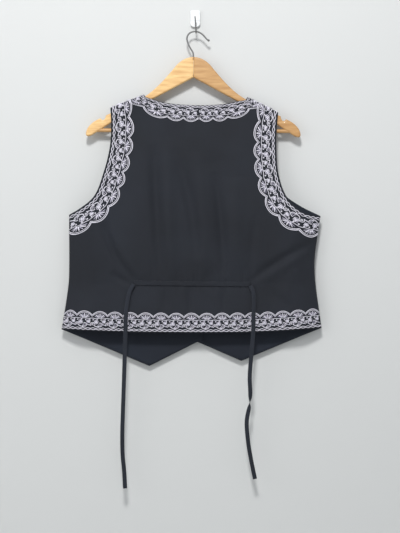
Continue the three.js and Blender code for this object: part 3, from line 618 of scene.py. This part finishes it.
def cotton(name, dark, light):
    mat, tree, bsdf = material(name)
    place = tree.nodes.new("ShaderNodeTexCoord")
    waves = []
    for direction in ("X", "Y"):
        w = node(tree, "ShaderNodeTexWave", Scale=420.0, Distortion=0.6, bands_direction=direction)
        tree.links.new(place.outputs["UV"], w.inputs["Vector"])
        waves.append(w.outputs["Fac"])
    add = node(tree, "ShaderNodeMath", operation="ADD")
    tree.links.new(waves[0], add.inputs[0])
    tree.links.new(waves[1], add.inputs[1])
    cloud = node(tree, "ShaderNodeTexNoise", Scale=9.0, Detail=4.0)
    tree.links.new(place.outputs["Object"], cloud.inputs["Vector"])
    tree.links.new(two_tone(tree, cloud.outputs["Fac"], dark, light, 0.35, 0.7), bsdf.inputs["Base Color"])
    bsdf.inputs["Roughness"].default_value = 0.82
    bsdf.inputs["Sheen Weight"].default_value = 0.12
    bsdf.inputs["Sheen Roughness"].default_value = 0.4
    bump(tree, bsdf, add.outputs[0], 0.25, 0.0003)
    return mat


def thread_finish():
    mat, tree, bsdf = material("embroidery thread")
    tone = node(tree, "ShaderNodeAttribute", attribute_name="tone")
    place = tree.nodes.new("ShaderNodeTexCoord")
    noise = node(tree, "ShaderNodeTexNoise", Scale=240.0, Detail=2.0)
    tree.links.new(place.outputs["Object"], noise.inputs["Vector"])
    mix = node(tree, "ShaderNodeMath", operation="MULTIPLY_ADD")
    tree.links.new(noise.outputs["Fac"], mix.inputs[0])
    mix.inputs[1].default_value = 0.5
    tree.links.new(tone.outputs["Fac"], mix.inputs[2])
    lilac = two_tone(tree, mix.outputs[0], (0.18, 0.16, 0.27), (0.78, 0.76, 0.84), 0.65, 1.3)
    tree.links.new(lilac, bsdf.inputs["Base Color"])
    bsdf.inputs["Roughness"].default_value = 0.55
    bsdf.inputs["Sheen Weight"].default_value = 0.2
    bump(tree, bsdf, noise.outputs["Fac"], 0.3, 0.0004)
    return mat


def wood(name, dark, light):
    mat, tree, bsdf = material(name)
    place = tree.nodes.new("ShaderNodeTexCoord")
    lean = 0.5 if "left" in name else -0.5
    stretch = node(tree, "ShaderNodeMapping", Scale=(7.0, 60.0, 55.0), Rotation=(0.0, lean, 0.0))
    tree.links.new(place.outputs["Object"], stretch.inputs["Vector"])
    grain = node(tree, "ShaderNodeTexNoise", Scale=3.0, Detail=6.0, Roughness=0.6)
    tree.links.new(stretch.outputs["Vector"], grain.inputs["Vector"])
    tree.links.new(two_tone(tree, grain.outputs["Fac"], dark, light, 0.3, 0.7), bsdf.inputs["Base Color"])
    bsdf.inputs["Roughness"].default_value = 0.42
    bsdf.inputs["Coat Weight"].default_value = 0.2
    bump(tree, bsdf, grain.outputs["Fac"], 0.15, 0.0003)
    return mat


def simple(name, color, roughness, metallic=0.0, grain=120.0):
    mat, tree, bsdf = material(name)
    place = tree.nodes.new("ShaderNodeTexCoord")
    noise = node(tree, "ShaderNodeTexNoise", Scale=grain, Detail=3.0)
    tree.links.new(place.outputs["Object"], noise.inputs["Vector"])
    dark = tuple(c * 0.85 for c in color)
    tree.links.new(two_tone(tree, noise.outputs["Fac"], dark, color, 0.3, 0.7), bsdf.inputs["Base Color"])
    bsdf.inputs["Roughness"].default_value = roughness
    bsdf.inputs["Metallic"].default_value = metallic
    bump(tree, bsdf, noise.outputs["Fac"], 0.06, 0.0002)
    return mat


finish = {
    "cotton": cotton("cotton back", (0.0042, 0.0062, 0.0115), (0.0075, 0.0105, 0.018)),
    "cotton_front": cotton("cotton front", (0.0042, 0.0075, 0.016), (0.008, 0.013, 0.024)),
    "edging": thread_finish(),
    "tape": cotton("tape", (0.006, 0.009, 0.016), (0.012, 0.016, 0.026)),
    "button": simple("button", (0.02, 0.022, 0.026), 0.35),
    # one wood in two copies: the left arm is painted lighter as lit, the right arm and the bar darker as
    # painted shade
    "wood_light": wood("wood left arm, painted lit", (0.62, 0.34, 0.12), (0.90, 0.62, 0.28)),
    "wood_dark": wood("wood right arm, painted shade", (0.42, 0.21, 0.07), (0.62, 0.37, 0.15)),
    "steel": simple("steel wire", (0.2, 0.2, 0.2), 0.35, 0.85),
    "plastic": simple("hook pad plastic", (0.86, 0.88, 0.89), 0.35),
}

PIECES = [
    (back, "cotton", ["back_panel"]), (front_left, "cotton_front", ["front_left"]),
    (front_right, "cotton_front", ["front_right"]), (casing, "cotton", ["waist_casing"]),
    (edgings["edging_neck_left"], "edging", ["neck_trim_left"]),
    (edgings["edging_neck_right"], "edging", ["neck_trim_right"]),
    (edgings["edging_armhole_left"], "edging", ["armhole_trim_left"]),
    (edgings["edging_armhole_right"], "edging", ["armhole_trim_right"]),
    (edgings["edging_hem"], "edging", ["hem_trim"]),
    (tie_left, "tape", ["tie_left"]), (tie_right, "tape", ["tie_right"]),
]
for obj, slot_name, nodes in PIECES:
    obj.data.materials.append(finish[slot_name])
    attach(obj, "root")
    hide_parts(*nodes)

HARD = {**{f"button_{k}": "button" for k in (1, 2, 3, 4)},
        "hanger_arm_left": "wood_light", "hanger_arm_right": "wood_dark", "hanger_bar": "wood_dark",
        "hanger_hook": "steel", "wall_pad": "plastic", "wall_hook_wire": "steel"}
for name, slot_name in HARD.items():
    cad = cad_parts[name]
    cad.data.materials.clear()
    cad.data.materials.append(finish[slot_name])

for obj, line, length in ((tie_left, line_left, lengths[0]), (tie_right, line_right, lengths[1])):
    tuple(line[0])
    [tuple(p) for p in line]

# %% [markdown]
# ## Wall, floor, light and camera
# A pale wall and floor, a soft key light from above and a gentle fill.

# %% Stage
def plane(name, corners):
    return add_object(name, corners, [(0, 1, 2, 3)])


WALL_Y, FLOOR_Z, STAGE_HALF, WALL_TOP = 0.002, -1.6, 4, 2.5
wall_plane = plane("stage_wall", [(-STAGE_HALF, WALL_Y, FLOOR_Z), (STAGE_HALF, WALL_Y, FLOOR_Z),
                                  (STAGE_HALF, WALL_Y, WALL_TOP), (-STAGE_HALF, WALL_Y, WALL_TOP)])
floor_plane = plane("stage_floor", [(-STAGE_HALF, -STAGE_HALF, FLOOR_Z), (STAGE_HALF, -STAGE_HALF, FLOOR_Z),
                                    (STAGE_HALF, WALL_Y, FLOOR_Z), (-STAGE_HALF, WALL_Y, FLOOR_Z)])
paint, paint_tree, paint_bsdf = material("wall paint")
paint_bsdf.inputs["Base Color"].default_value = (0.64, 0.65, 0.64, 1)
paint_bsdf.inputs["Roughness"].default_value = 0.9
geometry = paint_tree.nodes.new("ShaderNodeNewGeometry")
clear = paint_tree.nodes.new("ShaderNodeBsdfTransparent")
choose = paint_tree.nodes.new("ShaderNodeMixShader")
paint_tree.links.new(geometry.outputs["Backfacing"], choose.inputs[0])
paint_tree.links.new(paint_bsdf.outputs["BSDF"], choose.inputs[1])
paint_tree.links.new(clear.outputs["BSDF"], choose.inputs[2])
paint_tree.links.new(choose.outputs[0], paint_tree.nodes["Material Output"].inputs["Surface"])
for p in (wall_plane, floor_plane):
    p.data.materials.append(paint)


def area_light(name, place, aim, size, power):
    data = bpy.data.lights.new(name, "AREA")
    data.shape, data.size, data.energy = "DISK", size, power
    obj = bpy.data.objects.new(name, data)
    bpy.context.scene.collection.objects.link(obj)
    direction = np.array(aim) - np.array(place)
    yaw = math.atan2(direction[1], direction[0])
    tilt = math.acos(-direction[2] / np.linalg.norm(direction))
    obj.location = place
    obj.rotation_euler = (tilt, 0, yaw - math.pi / 2)


area_light("key", (-0.15, -1.9, 1.15), (0, 0, -0.35), 0.45, 42)
area_light("fill left", (-1.8, -1.6, -0.2), (0, 0, -0.5), 1.6, 8)
area_light("behind", (0.6, 1.6, 0.4), (0, 0, -0.45), 1.2, 18)
world = bpy.data.worlds.new("room")
world.use_nodes = True
world.node_tree.nodes["Background"].inputs["Color"].default_value = (0.93, 0.95, 1, 1)
world.node_tree.nodes["Background"].inputs["Strength"].default_value = 0.55
bpy.context.scene.world = world
bpy.context.scene.view_settings.view_transform = "Standard"

SEEN_TALL = 1.0953    # metres of the vest's plane seen from top to bottom
DISTANCE = 2.4
HANGS_AT = 0.03       # how far that plane stands off the wall
SENSOR = 36
camera_data = bpy.data.cameras.new("camera")
camera_data.sensor_fit = "VERTICAL"
camera_data.sensor_height = SENSOR
camera_data.lens = SENSOR * DISTANCE / SEEN_TALL
camera = bpy.data.objects.new("camera", camera_data)
camera.location = (0.0099, -DISTANCE - HANGS_AT, -0.5148)
camera.rotation_euler = (math.pi / 2, 0, 0)
bpy.context.scene.collection.objects.link(camera)
bpy.context.scene.camera = camera
